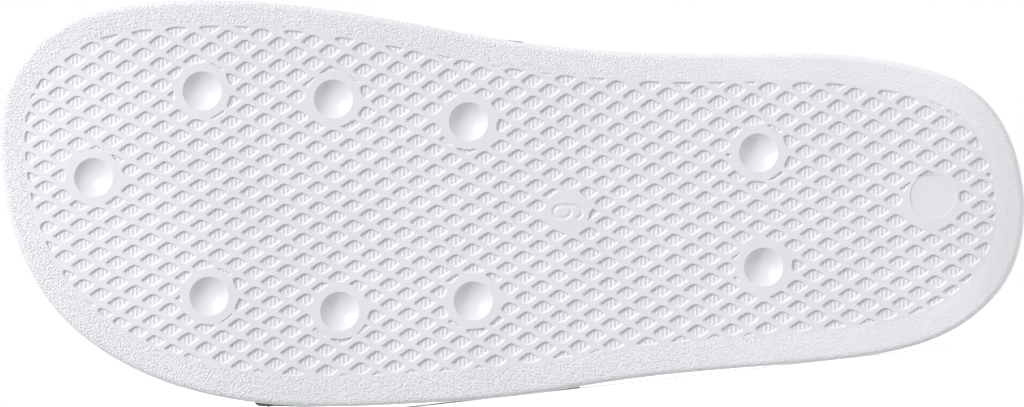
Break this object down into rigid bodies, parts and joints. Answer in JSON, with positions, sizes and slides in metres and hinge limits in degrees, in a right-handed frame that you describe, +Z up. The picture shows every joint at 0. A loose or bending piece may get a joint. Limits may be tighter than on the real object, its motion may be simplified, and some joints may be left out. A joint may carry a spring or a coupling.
{
  "type": "sport slide sandal",
  "caption": "Right-foot sport slide sandal lying on its side: moulded sole with diamond tread and suction cups, footbed and one wide strap.",
  "frame": {"origin": "centre of the shoe's box, on the floor that the shoe lies on", "axes": "The shoe lies on its little-toe side. +X runs from toe to heel, +Y from the underside of the sole to the strap, +Z up from the floor, from the little-toe side to the big-toe side"},
  "size_m": [0.2858, 0.0792, 0.1217],
  "materials": {
    "sole_rubber": "light grey moulded foam rubber, satin, fine leather-like grain on the rim",
    "footbed_foam": "light grey foam, matt, fine texture",
    "strap_synthetic": "black grained synthetic leather with a soft textile lining"
  },
  "bodies": {
    "root": {"sole": "sole_rubber", "footbed": "footbed_foam", "strap": "strap_synthetic"}
  },
  "joints": []
}
